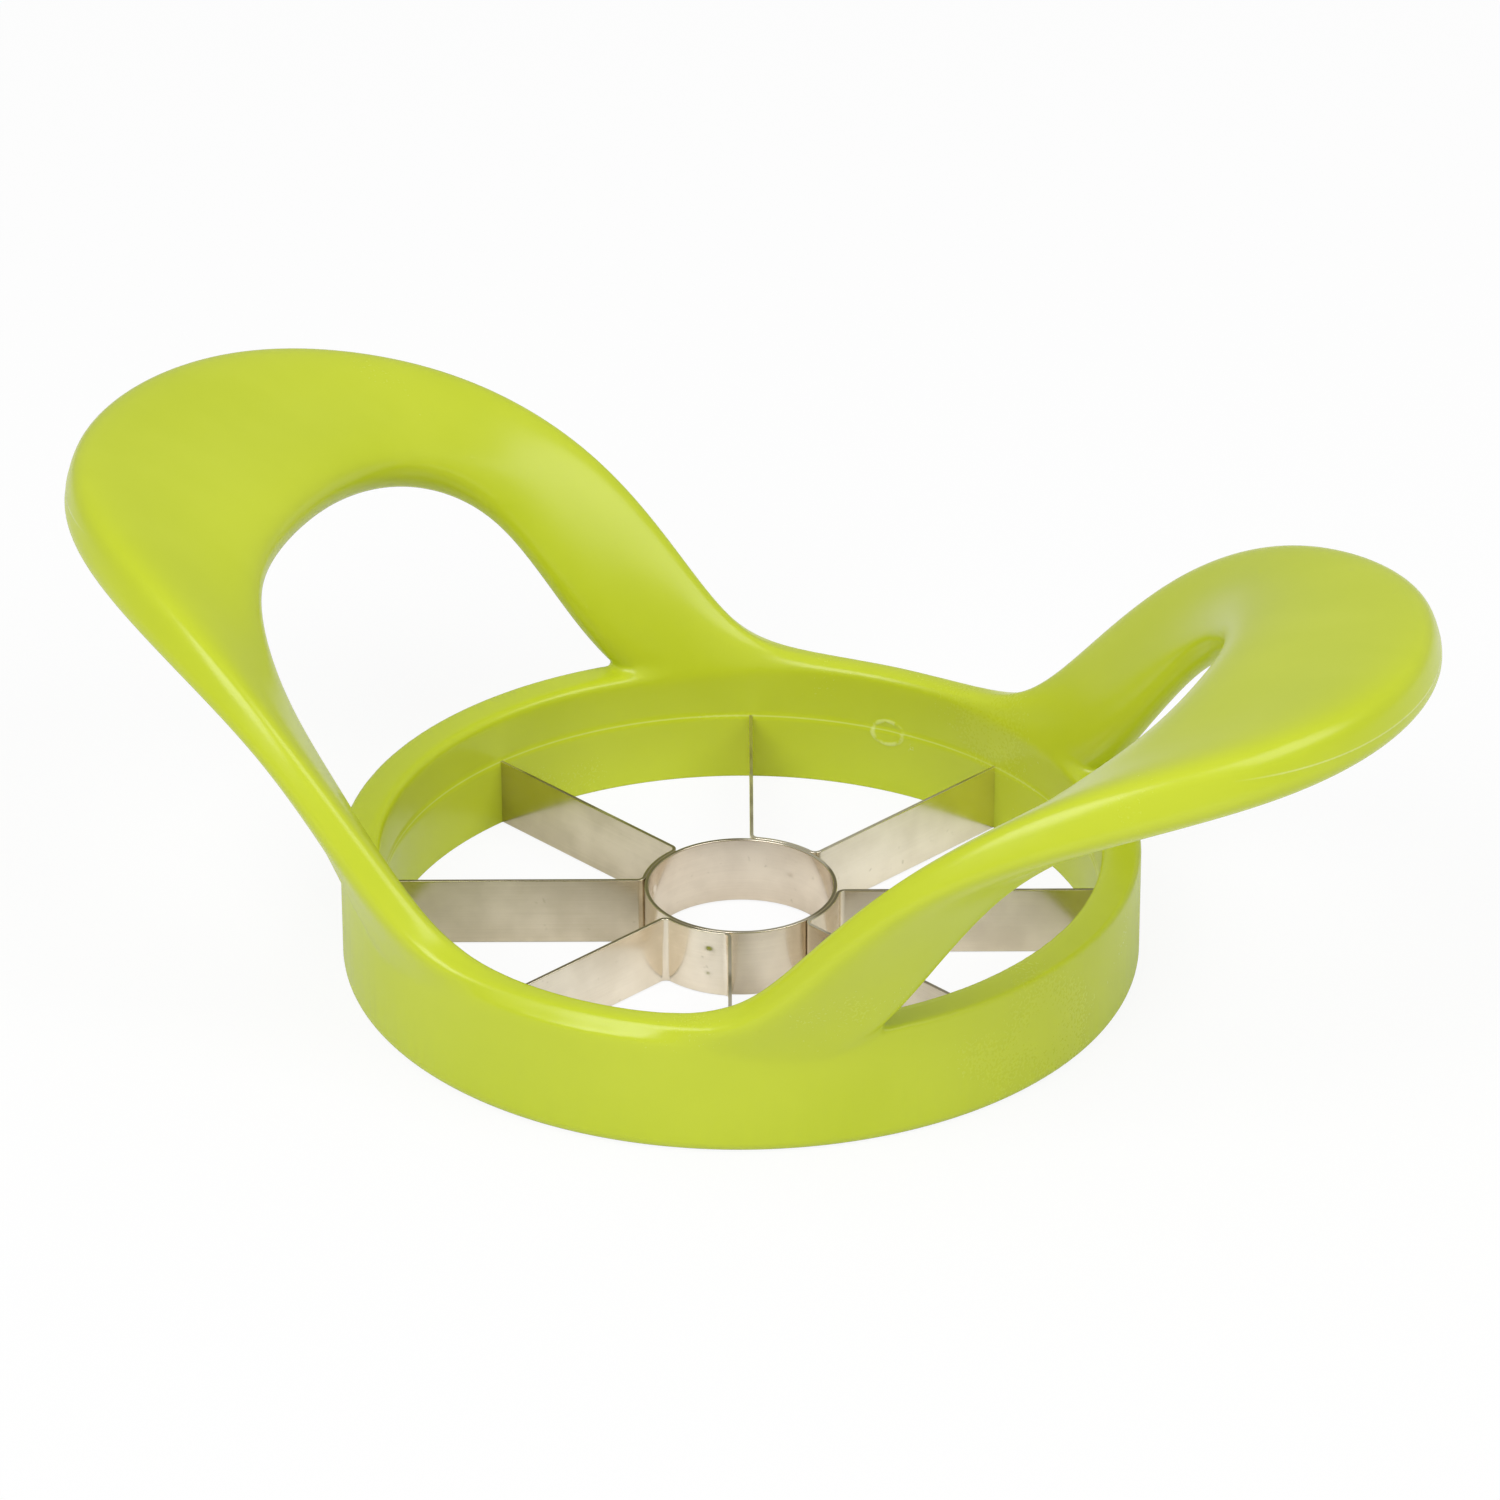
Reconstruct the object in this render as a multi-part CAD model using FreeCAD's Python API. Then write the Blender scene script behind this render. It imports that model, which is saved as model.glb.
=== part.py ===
"""Apple slicer and corer: one moulded body with two loop handles, a steel core
ring, and four folded steel strips whose eight arms slice the apple.

Millimetres, Z up, X along the two handles, Y across them. The origin is on the
axis of the core ring, in the plane that the ring stands on.
"""
import FreeCAD
import Part
import math
import os
from collections import namedtuple

Vector = FreeCAD.Vector
UP = Vector(0, 0, 1)
ORIGIN = Vector(0, 0, 0)

# The moulded ring
ring_outer_radius = 50.5
ring_wall = 5.3
ring_height = 15.7
ring_base_round = 1.5
ring_rim_round = 0.6
seat_ledge = 0.3

# The steel star: core ring, strips and their ends in the ring wall. Angles are
# in degrees. The first arm stands first_arm_step steps round from the X axis, the
# whole star is turned by star_turn, and core_twist turns the inner ends back.
core_outer_radius = 12.2
core_wall = 0.5
core_edge_bevel = 0.8
core_edge_flat = 0.1
strip_thickness = 0.45
strip_height = 9.0
edge_lift = 0.1
bend_radius = 1.0
arm_count = 8
first_arm_step = 1.5
star_turn = 0.9
core_twist = 3.9
hug_narrowing = 1.0
anchor_depth = 3.4
anchor_hole_diameter = 2.2
drill_overrun = 1.0
bore_overrun = 4.0

# The band that makes both handles. Stations run round one quarter of it, from
# the saddle over the ring wall to the outer end of the pad. Every station has
# its rim, which faces the finger opening, and its edge, which faces outwards.
# inset: how far inside the ring's outer wall, across the handles
# reach: how far past the ring's outer wall, along the handles
# rise: how far above the top of the ring
# The saddle and the shoulder stand in the ring's wall: root is how far their rim
# lies under the top of the ring, crest how far their edge stands over it. The
# shoulder's angles are in degrees from the saddle.
Place = namedtuple("Place", "reach inset rise")
Station = namedtuple("Station", "rim edge thickness")

saddle_root = 14.1
saddle_crest = 1.3
saddle_thickness = 5.0
shoulder_root = 11.6
shoulder_crest = 1.3
shoulder_rim_angle = 19.2
shoulder_edge_angle = 13.1
shoulder_thickness = 5.2
lift_rim = Place(reach=-18.0, inset=14.6, rise=-4.2)
lift_edge = Place(reach=-29.7, inset=5.0, rise=2.6)
lift_thickness = 5.7
rail_rim = Place(reach=-9.7, inset=18.7, rise=9.6)
rail_edge = Place(reach=-21.4, inset=4.8, rise=11.1)
rail_thickness = 5.9
flare_rim = Place(reach=-1.6, inset=19.5, rise=21.3)
flare_edge = Place(reach=-8.8, inset=5.2, rise=26.0)
flare_thickness = 4.8
pad_side_rim = Place(reach=5.7, inset=26.7, rise=28.8)
pad_side_edge = Place(reach=10.7, inset=11.1, rise=36.3)
pad_side_thickness = 8.4
pad_corner_rim = Place(reach=9.3, inset=38.3, rise=32.2)
pad_corner_edge = Place(reach=33.9, inset=25.8, rise=40.6)
pad_end_rim = Place(reach=9.9, inset=ring_outer_radius, rise=33.1)
pad_end_edge = Place(reach=41.6, inset=ring_outer_radius, rise=41.1)
pad_thickness = 9.0

# Worked out from the sizes above
ring_inner_radius = ring_outer_radius - ring_wall
ring_middle_radius = ring_outer_radius - ring_wall / 2
strip_bottom = edge_lift
strip_top = edge_lift + strip_height
hug_radius = core_outer_radius + strip_thickness / 2
arm_step = 360.0 / arm_count
anchor_radius = ring_inner_radius + anchor_depth


def polar(radius, degrees, height=0.0):
    """Point at a radius and an angle from the X axis."""
    angle = math.radians(degrees)
    return Vector(radius * math.cos(angle), radius * math.sin(angle), height)


def handle_point(place):
    """Point of the rear right quarter, from how it stands to the ring."""
    return Vector(
        ring_outer_radius + place.reach,
        ring_outer_radius - place.inset,
        ring_height + place.rise,
    )


def band_stations():
    """Stations of the rear right quarter, from the saddle to the pad's end."""
    saddle = 90.0
    return [
        Station(
            polar(ring_middle_radius, saddle, ring_height - saddle_root),
            polar(ring_middle_radius, saddle, ring_height + saddle_crest),
            saddle_thickness,
        ),
        Station(
            polar(ring_middle_radius, saddle - shoulder_rim_angle, ring_height - shoulder_root),
            polar(ring_middle_radius, saddle - shoulder_edge_angle, ring_height + shoulder_crest),
            shoulder_thickness,
        ),
        Station(handle_point(lift_rim), handle_point(lift_edge), lift_thickness),
        Station(handle_point(rail_rim), handle_point(rail_edge), rail_thickness),
        Station(handle_point(flare_rim), handle_point(flare_edge), flare_thickness),
        Station(
            handle_point(pad_side_rim), handle_point(pad_side_edge), pad_side_thickness
        ),
        Station(
            handle_point(pad_corner_rim), handle_point(pad_corner_edge), pad_thickness
        ),
        Station(handle_point(pad_end_rim), handle_point(pad_end_edge), pad_thickness),
    ]


# Outline of the band's cross-section, as shares of its half width (towards the
# edge) and half thickness (towards the face that the palm rests on)
SECTION = [
    (1.00, 0.00),
    (1.00, 0.78),
    (0.62, 1.00),
    (0.00, 1.00),
    (-0.62, 1.00),
    (-1.00, 0.62),
    (-1.00, -0.62),
    (-0.62, -1.00),
    (0.00, -1.00),
    (0.66, -1.00),
    (1.00, -0.72),
]


def mirrored(point, across_x, across_y):
    """Point moved to another quarter of the body."""
    return Vector(point.x * across_x, point.y * across_y, point.z)


def station_outline(before, station, after):
    """Control points of one section, square to the band's path there."""
    middle = (station.rim + station.edge) * 0.5
    width = station.edge - station.rim
    along = (after - before).normalize()
    face = along.cross(width).normalize()
    half = station.thickness / 2
    return [middle + width * (0.5 * a) + face * (b * half) for a, b in SECTION]


def quarter_outlines():
    """Control points of every section from the saddle to the pad's end."""
    stations = band_stations()
    middles = [(s.rim + s.edge) * 0.5 for s in stations]
    befores = [mirrored(middles[1], -1, 1)] + middles[:-1]
    afters = middles[1:] + [mirrored(middles[-2], 1, -1)]
    return [station_outline(*three) for three in zip(befores, stations, afters)]


def band_control_net():
    """Control points right round the band: four mirrored quarters."""
    quarter = quarter_outlines()
    last = len(quarter) - 1
    net = [quarter[k] for k in range(last)]
    net += [[mirrored(p, 1, -1) for p in quarter[k]] for k in range(last, 0, -1)]
    net += [[mirrored(p, -1, -1) for p in quarter[k]] for k in range(last)]
    net += [[mirrored(p, -1, 1) for p in quarter[k]] for k in range(last, 0, -1)]
    return net


def make_band():
    """Closed smooth band through all the sections."""
    net = band_control_net()
    around = len(net)
    across = len(SECTION)
    surface = Part.BSplineSurface()
    surface.buildFromPolesMultsKnots(
        net,
        [1] * (around + 1),
        [1] * (across + 1),
        [float(k) for k in range(around + 1)],
        [float(k) for k in range(across + 1)],
        True,
        True,
        3,
        3,
    )
    solid = Part.Solid(Part.Shell([surface.toShape()]))
    if solid.Volume < 0:
        solid.reverse()
    return solid


def make_ring():
    """Moulded ring with a rounded foot, and a ledge inside at the strips' tops."""
    outer = ring_outer_radius
    inner = ring_inner_radius
    base = ring_base_round
    rim = ring_rim_round
    lean = math.sqrt(0.5)
    corners = [
        Vector(inner, 0, 0),
        Vector(outer - base, 0, 0),
        Vector(outer, 0, base),
        Vector(outer, 0, ring_height - rim),
        Vector(outer - rim, 0, ring_height),
        Vector(inner + seat_ledge + rim, 0, ring_height),
        Vector(inner + seat_ledge, 0, ring_height - rim),
        Vector(inner + seat_ledge, 0, strip_top),
        Vector(inner, 0, strip_top),
    ]
    base_middle = Vector(outer - base + base * lean, 0, base - base * lean)
    rim_middle = Vector(outer - rim + rim * lean, 0, ring_height - rim + rim * lean)
    inside = inner + seat_ledge
    top_middle = Vector(inside + rim - rim * lean, 0, ring_height - rim + rim * lean)
    edges = [
        Part.makeLine(corners[0], corners[1]),
        Part.Arc(corners[1], base_middle, corners[2]).toShape(),
        Part.makeLine(corners[2], corners[3]),
        Part.Arc(corners[3], rim_middle, corners[4]).toShape(),
        Part.makeLine(corners[4], corners[5]),
        Part.Arc(corners[5], top_middle, corners[6]).toShape(),
        Part.makeLine(corners[6], corners[7]),
        Part.makeLine(corners[7], corners[8]),
        Part.makeLine(corners[8], corners[0]),
    ]
    profile = Part.Face(Part.Wire(edges))
    return profile.revolve(ORIGIN, UP, 360)


def make_bore():
    """Space inside the ring, which no part of the band reaches into."""
    upper = ring_inner_radius + seat_ledge
    low = -bore_overrun
    high = ring_height + bore_overrun
    points = [
        Vector(0, 0, low),
        Vector(ring_inner_radius, 0, low),
        Vector(ring_inner_radius, 0, strip_top),
        Vector(upper, 0, strip_top),
        Vector(upper, 0, high),
        Vector(0, 0, high),
    ]
    profile = Part.Face(Part.makePolygon(points + points[:1]))
    return profile.revolve(ORIGIN, UP, 360)


def make_core_ring():
    """Steel tube that cuts out the core, bevelled inside at its lower edge."""
    inner = core_outer_radius - core_wall
    points = [
        Vector(core_outer_radius, 0, strip_bottom),
        Vector(core_outer_radius, 0, strip_top),
        Vector(inner, 0, strip_top),
        Vector(inner, 0, strip_bottom + core_edge_bevel),
        Vector(core_outer_radius - core_edge_flat, 0, strip_bottom),
    ]
    profile = Part.Face(Part.makePolygon(points + points[:1]))
    return profile.revolve(ORIGIN, UP, 360)


class Arm:
    """One arm of a strip in plan: a straight run that bends on to the core ring."""

    def __init__(self, wall_angle, core_angle, partner_side):
        wall = polar(anchor_radius, wall_angle)
        start = polar(hug_radius, core_angle)
        self.wall = wall
        self.out = (wall - start).normalize()
        self.side = UP.cross(self.out) * partner_side
        self.offset = start.dot(self.side)
        reach = hug_radius + bend_radius
        along = math.sqrt(reach ** 2 - (self.offset + bend_radius) ** 2)
        self.foot = self.side * self.offset + self.out * along
        self.bend_centre = self.foot + self.side * bend_radius
        self.to_bend = Vector(self.bend_centre).normalize()

    def run_end(self, shift):
        """Outer end of the run, on the face that stands this far to the side."""
        return self.wall + self.side * shift

    def run_start(self, shift):
        """Where the run meets the bend."""
        return self.foot + self.side * shift

    def bend_middle(self, shift):
        """Middle of the bend."""
        to_run = (self.foot - self.bend_centre).normalize()
        halfway = (to_run - self.to_bend).normalize()
        return self.bend_centre + halfway * (bend_radius - shift)

    def hug_start(self, shift):
        """Where the bend meets the core ring."""
        return self.to_bend * (hug_radius + shift)


def strip_side(first, second, shift):
    """Edges of one face of a strip in plan, from one wall end to the other."""
    one = first.hug_start(shift)
    two = second.hug_start(shift)
    top = (one + two).normalize() * (hug_radius + shift)
    return [
        Part.makeLine(first.run_end(shift), first.run_start(shift)),
        Part.Arc(first.run_start(shift), first.bend_middle(shift), one).toShape(),
        Part.Arc(one, top, two).toShape(),
        Part.Arc(two, second.bend_middle(shift), second.run_start(shift)).toShape(),
        Part.makeLine(second.run_start(shift), second.run_end(shift)),
    ]


def anchor_hole(arm):
    """Hole near the end of an arm, which the moulding's plastic runs through."""
    radius = anchor_hole_diameter / 2
    depth = anchor_depth / 2
    length = strip_thickness + 2 * drill_overrun
    place = arm.wall - arm.out * depth - arm.side * (length / 2)
    place.z = (strip_bottom + strip_top) / 2
    return Part.makeCylinder(radius, length, place, arm.side)


def make_strip(index):
    """Folded strip: an arm, a bend, an arc along the core ring, a bend, an arm."""
    wall_first = star_turn + arm_step * (2 * index + first_arm_step)
    wall_second = wall_first + arm_step
    first = Arm(wall_first, wall_first - core_twist + hug_narrowing, 1)
    second = Arm(wall_second, wall_second - core_twist - hug_narrowing, -1)
    half = strip_thickness / 2
    outer = strip_side(first, second, half)
    inner = strip_side(first, second, -half)
    ends = [
        Part.makeLine(first.run_end(half), first.run_end(-half)),
        Part.makeLine(second.run_end(half), second.run_end(-half)),
    ]
    outline = Part.Wire(Part.__sortEdges__(outer + inner + ends))
    blank = Part.Face(outline).extrude(UP * strip_height)
    blank.translate(UP * strip_bottom)
    return blank.cut(anchor_hole(first)).cut(anchor_hole(second))


def make_body(strips):
    """Ring and band as one moulding, moulded round the ends of the strips."""
    body = make_ring().fuse(make_band()).cut(make_bore())
    for strip in strips:
        body = body.cut(strip)
    return body


def export(name, shape):
    """Write one sub-part and say what it is."""
    shape.exportStep("parts/" + name + ".step")
    box = shape.BoundBox
    size = "%.1f x %.1f x %.1f" % (box.XLength, box.YLength, box.ZLength)
    print(name, "solids", len(shape.Solids), "valid", shape.isValid(), size)
    print("  volume %.1f" % shape.Volume, "z %.2f to %.2f" % (box.ZMin, box.ZMax))


def main():
    """Build and write every piece."""
    os.makedirs("parts", exist_ok=True)
    strip_names = ["rear", "left", "front", "right"]
    strips = [make_strip(index) for index in range(len(strip_names))]
    body = make_body(strips)
    export("handle_body", body)
    export("core_ring", make_core_ring())
    for name, strip in zip(strip_names, strips):
        export("blade_strip_" + name, strip)


main()
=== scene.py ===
"""Looks of an apple slicer: a moulded body with two loop handles, and a steel star.

Metres, Z up, X along the two handles, Y across them. The origin is on the axis of
the core tube, on the surface that the slicer stands on.
"""
import logging
import math
from collections.abc import Callable, Iterator
from contextlib import contextmanager
from dataclasses import dataclass, field
from enum import Enum
from typing import NamedTuple

import bmesh
import bpy
from mathutils import Matrix, Vector
from mathutils.bvhtree import BVHTree


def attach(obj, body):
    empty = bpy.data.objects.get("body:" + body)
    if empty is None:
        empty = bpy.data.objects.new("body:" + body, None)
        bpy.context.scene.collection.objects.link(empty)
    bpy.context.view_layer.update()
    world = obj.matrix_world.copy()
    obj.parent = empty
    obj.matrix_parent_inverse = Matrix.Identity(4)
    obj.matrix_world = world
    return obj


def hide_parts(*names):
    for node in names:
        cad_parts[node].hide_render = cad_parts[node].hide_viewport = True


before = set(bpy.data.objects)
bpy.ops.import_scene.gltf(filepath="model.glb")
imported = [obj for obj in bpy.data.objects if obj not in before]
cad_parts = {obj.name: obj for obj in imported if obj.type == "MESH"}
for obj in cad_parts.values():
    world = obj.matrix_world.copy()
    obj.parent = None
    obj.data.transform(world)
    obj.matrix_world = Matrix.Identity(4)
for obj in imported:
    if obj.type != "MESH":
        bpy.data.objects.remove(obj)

log = logging.getLogger("slicer")

MM = 0.001
MERGE_GAP = 0.01 * MM
UP = Vector((0.0, 0.0, 1.0))
ORIGIN = Vector((0.0, 0.0, 0.0))


class Slot(Enum):
    """The record's material slots."""

    PLASTIC = "body_plastic"
    STEEL = "blade_steel"


def polar(radius: float, degrees: float, height: float = 0.0) -> Vector:
    """Point at a radius and an angle from the X axis."""
    angle = math.radians(degrees)
    return Vector((radius * math.cos(angle), radius * math.sin(angle), height))


def smooth_step(low: float, high: float, value: float) -> float:
    """Share from 0 to 1, eased at both ends, of the way from low to high."""
    share = min(max((value - low) / (high - low), 0.0), 1.0)
    return share * share * (3.0 - 2.0 * share)


def flat_length(point: Vector) -> float:
    """How far a point is from the Z axis."""
    return math.hypot(point.x, point.y)


def set_radius(point: Vector, radius: float) -> None:
    """Move a point level with itself to a radius from the Z axis."""
    share = radius / flat_length(point)
    point.x *= share
    point.y *= share


class Bench:
    """The hand tools that every piece is modelled with."""

    @staticmethod
    def clear() -> None:
        """Leave edit mode and deselect everything."""
        if bpy.context.mode != "OBJECT":
            bpy.ops.object.mode_set(mode="OBJECT")
        bpy.ops.object.select_all(action="DESELECT")

    @staticmethod
    def pick(*pieces: bpy.types.Object) -> None:
        """Select these pieces only, and make the first one active.

        Args:
            pieces: the pieces to work on.
        """
        Bench.clear()
        for piece in pieces:
            piece.select_set(True)
        bpy.context.view_layer.objects.active = pieces[0]

    @staticmethod
    def named(name: str) -> bpy.types.Object:
        """Name the piece that was just added.

        Args:
            name: the piece's name.

        Returns:
            The active object.
        """
        piece = bpy.context.active_object
        piece.name = name
        piece.data.name = name
        return piece

    @staticmethod
    @contextmanager
    def editing(piece: bpy.types.Object) -> Iterator[bmesh.types.BMesh]:
        """Edit mode on one piece, starting with nothing selected.

        Args:
            piece: the piece to edit.

        Yields:
            Its edit mesh.
        """
        Bench.pick(piece)
        bpy.ops.object.mode_set(mode="EDIT")
        bpy.ops.mesh.select_all(action="DESELECT")
        yield bmesh.from_edit_mesh(piece.data)
        bpy.ops.object.mode_set(mode="OBJECT")

    @staticmethod
    def choose(
        piece: bpy.types.Object,
        mode: str,
        wanted: Callable[[bmesh.types.BMVert | bmesh.types.BMEdge | bmesh.types.BMFace], bool],
    ) -> None:
        """Select what answers a test, in edit mode.

        Args:
            piece: the piece in edit mode.
            mode: VERT, EDGE or FACE.
            wanted: the test.
        """
        bpy.ops.mesh.select_mode(type=mode)
        bpy.ops.mesh.select_all(action="DESELECT")
        mesh = bmesh.from_edit_mesh(piece.data)
        items = {"VERT": mesh.verts, "EDGE": mesh.edges, "FACE": mesh.faces}[mode]
        for item in items:
            if wanted(item):
                item.select_set(True)
        mesh.select_flush_mode()
        bmesh.update_edit_mesh(piece.data)

    @staticmethod
    def modify(piece: bpy.types.Object, kind: str, **settings: object) -> None:
        """Add a modifier and apply it.

        Args:
            piece: the piece to change.
            kind: the modifier's type.
            settings: the modifier's settings.
        """
        Bench.pick(piece)
        modifier = piece.modifiers.new(kind.title(), kind)
        for key, value in settings.items():
            setattr(modifier, key, value)
        bpy.ops.object.modifier_apply(modifier=modifier.name)

    @staticmethod
    def settle(piece: bpy.types.Object) -> None:
        """Move the piece's place, turn and scale into its mesh."""
        Bench.pick(piece)
        bpy.ops.object.transform_apply(location=True, rotation=True, scale=True)

    @staticmethod
    def face_outwards(piece: bpy.types.Object) -> None:
        """Merge doubled vertices and make every face point outwards."""
        with Bench.editing(piece):
            bpy.ops.mesh.select_all(action="SELECT")
            bpy.ops.mesh.remove_doubles(threshold=MERGE_GAP)
            bpy.ops.mesh.normals_make_consistent(inside=False)

    @staticmethod
    def turn_on(centre: Vector, angle: float, steps: int) -> None:
        """Spin the selected edge on about an upright axis.

        Args:
            centre: a point of the axis.
            angle: how far it turns, in radians, anticlockwise from above. With no
                window, spin itself counts the other way.
            steps: how many flats make the bend.
        """
        bpy.ops.mesh.spin(steps=steps, angle=-angle, center=centre, axis=UP, dupli=False)

    @staticmethod
    def cut_level(height: float, drop_lower: bool = False) -> None:
        """Cut what is selected along a level plane, in edit mode.

        Args:
            height: the plane's height.
            drop_lower: whether what lies below it is taken off.
        """
        bpy.ops.mesh.bisect(plane_co=(0.0, 0.0, height), plane_no=UP, clear_inner=drop_lower)

    @staticmethod
    def slice_rows(low: float, high: float, rows: int) -> None:
        """Cut the piece in edit mode into level rows.

        Args:
            low: its lowest height.
            high: its highest height.
            rows: how many rows it is cut into.
        """
        for row in range(1, rows):
            bpy.ops.mesh.select_all(action="SELECT")
            Bench.cut_level(low + (high - low) * row / rows)

    @staticmethod
    def smooth_shade(piece: bpy.types.Object, degrees: float) -> None:
        """Shade smoothly across edges flatter than an angle."""
        Bench.pick(piece)
        bpy.ops.object.shade_smooth_by_angle(angle=math.radians(degrees))

    @staticmethod
    def discard(piece: bpy.types.Object) -> None:
        """Remove a helper piece and its mesh."""
        mesh = piece.data
        bpy.data.objects.remove(piece)
        bpy.data.meshes.remove(mesh)


class Signal:
    """A node's output that Python's operators work on."""

    def __init__(self, board: "Board", socket: bpy.types.NodeSocket) -> None:
        """Wrap an output socket of a board's node."""
        self.board = board
        self.socket = socket

    def _math(self, operation: str, *values: "Signal | float") -> "Signal":
        """Math node on some values."""
        return self.board.node("ShaderNodeMath", {"operation": operation}, dict(enumerate(values)))

    def __add__(self, other: "Signal | float") -> "Signal":
        """Sum."""
        return self._math("ADD", self, other)

    def __radd__(self, other: float) -> "Signal":
        """Sum, number first."""
        return self._math("ADD", other, self)

    def __sub__(self, other: "Signal | float") -> "Signal":
        """Difference."""
        return self._math("SUBTRACT", self, other)

    def __rsub__(self, other: float) -> "Signal":
        """Difference, number first."""
        return self._math("SUBTRACT", other, self)

    def __mul__(self, other: "Signal | float") -> "Signal":
        """Product."""
        return self._math("MULTIPLY", self, other)

    def __rmul__(self, other: float) -> "Signal":
        """Product, number first."""
        return self._math("MULTIPLY", other, self)

    def __truediv__(self, other: "Signal | float") -> "Signal":
        """Quotient."""
        return self._math("DIVIDE", self, other)

    def __pow__(self, other: "Signal | float") -> "Signal":
        """Power."""
        return self._math("POWER", self, other)

    def __abs__(self) -> "Signal":
        """Size without its sign."""
        return self._math("ABSOLUTE", self)

    def band(self, low: float, high: float) -> "Signal":
        """Share from 0 to 1, eased, of the way from low to high.

        Args:
            low: the value that gives 0.
            high: the value that gives 1.

        Returns:
            The share.
        """
        settings = {"interpolation_type": "SMOOTHSTEP", "data_type": "FLOAT"}
        return self.board.node("ShaderNodeMapRange", settings, {0: self, 1: low, 2: high})


class Board:
    """A material's node board."""

    def __init__(self, name: str) -> None:
        """Make an empty material of that name."""
        self.material = bpy.data.materials.new(name)
        self.material.use_nodes = True
        self.tree = self.material.node_tree
        self.tree.nodes.clear()

    def node(
        self,
        kind: str,
        settings: dict[str, object] | None = None,
        sockets: dict[int | str, object] | None = None,
        output: int | str = 0,
    ) -> Signal:
        """Add a node.

        Args:
            kind: the node's type.
            settings: its own settings, and a ramp's stops.
            sockets: values or signals for its inputs.
            output: the output that is wanted.

        Returns:
            That output.
        """
        made = self.tree.nodes.new(kind)
        for key, value in (settings or {}).items():
            setattr(made, key, value)
        for key, value in (sockets or {}).items():
            if isinstance(value, Signal):
                self.tree.links.new(value.socket, made.inputs[key])
            else:
                made.inputs[key].default_value = value
        return Signal(self, made.outputs[output])

    def place(self) -> Signal:
        """Where a point of the piece is, in metres."""
        return self.node("ShaderNodeTexCoord", output="Object")

    def stretched(self, scale: tuple[float, float, float]) -> Signal:
        """Place, scaled along each axis."""
        sockets = {"Vector": self.place(), "Scale": scale}
        return self.node("ShaderNodeMapping", {"vector_type": "POINT"}, sockets)

    def noise(self, vector: Signal, scale: float, detail: float) -> Signal:
        """Cloudy noise about 0.5.

        Args:
            vector: where the noise is read.
            scale: how many clouds to a unit.
            detail: how many finer layers are added.

        Returns:
            The noise.
        """
        sockets = {"Vector": vector, "Scale": scale, "Detail": detail}
        return self.node("ShaderNodeTexNoise", {}, sockets, "Fac")

    def axis(self, vector: Signal, name: str) -> Signal:
        """One part of a vector: X, Y or Z."""
        return self.node("ShaderNodeSeparateXYZ", {}, {0: vector}, name)

    def specks(self, scale: float, radius: float, rarity: float) -> Signal:
        """Share of rare round specks.

        Args:
            scale: how many cells to a metre.
            radius: a speck's radius, as a share of a cell.
            rarity: the share of cells without one.

        Returns:
            The share, 1 in a speck.
        """
        cells = {"Vector": self.place(), "Scale": scale}
        gap = self.node("ShaderNodeTexVoronoi", {}, cells, "Distance")
        lot = self.node("ShaderNodeTexVoronoi", {}, cells, "Color")
        chosen = self.node("ShaderNodeSeparateColor", {}, {0: lot}).band(rarity, rarity + 0.01)
        return chosen * (1.0 - gap.band(0.5 * radius, radius))

    def blend(self, share: Signal | float, low: object, high: object) -> Signal:
        """Colour part way from low to high."""
        settings = {"data_type": "RGBA", "clamp_factor": True}
        return self.node("ShaderNodeMix", settings, {0: share, 6: low, 7: high}, 2)

    def bump(self, height: Signal, distance: float) -> Signal:
        """Normal of a surface with this relief, distance metres high."""
        sockets = {"Height": height, "Distance": distance, "Strength": 1.0}
        return self.node("ShaderNodeBump", {}, sockets)

    def finish(self, shader: Signal) -> bpy.types.Material:
        """Send a shader to the surface.

        Args:
            shader: the shader.

        Returns:
            The finished material.
        """
        end = self.tree.nodes.new("ShaderNodeOutputMaterial")
        self.tree.links.new(shader.socket, end.inputs["Surface"])
        return self.material


def linear(red: int, green: int, blue: int) -> tuple[float, float, float, float]:
    """Shader colour of a screen colour.

    Args:
        red: from 0 to 255.
        green: from 0 to 255.
        blue: from 0 to 255.

    Returns:
        The linear colour, with alpha 1.
    """
    def undo(level: int) -> float:
        share = level / 255
        return share / 12.92 if share <= 0.04045 else ((share + 0.055) / 1.055) ** 2.4

    return (undo(red), undo(green), undo(blue), 1.0)


@dataclass(frozen=True)
class GateMark:
    """Oval mark that the mould's gate left on the rear of the inner wall.

    The rim's width is a share of the oval's size. A few pale flecks lie beside
    the oval, round flow_x and flow_z.
    """

    middle: Vector = field(default_factory=lambda: Vector((0.15, 45.4, 8.8)) * MM)
    half_width: float = 2.1 * MM
    half_height: float = 1.6 * MM
    rim_height: float = 0.12 * MM
    rim_width: float = 0.15
    dish: float = 0.05 * MM
    skin: float = 0.5 * MM
    flow_x: float = 4.4 * MM
    flow_z: float = 7.2 * MM


@dataclass(frozen=True)
class PartingLine:
    """Line round the pads' outer edges where the mould's halves met.

    It comes in from start to full, measured from the middle plane, and its step
    fades out over the fade below it.
    """

    height: float = 55.45 * MM
    start: float = 76.0 * MM
    full: float = 84.0 * MM
    step: float = 0.07 * MM
    slope: float = 0.08 * MM
    fade: float = 1.4 * MM


@dataclass(frozen=True)
class LedgeLine:
    """Step in the ring's inner wall at the blades' tops, with a painted highlight: a pale line
    painted along it where the step catches the light.
    """

    top: float = 9.1 * MM
    step: float = 0.3 * MM
    slope: float = 0.12 * MM
    # Place of the painted highlight along the step: its height and how far out it reaches.
    highlight_height: float = 9.05 * MM
    highlight_out: float = 45.6 * MM
    highlight_gone: float = 45.9 * MM


GATE = GateMark()
PARTING = PartingLine()
LEDGE = LedgeLine()


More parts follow.
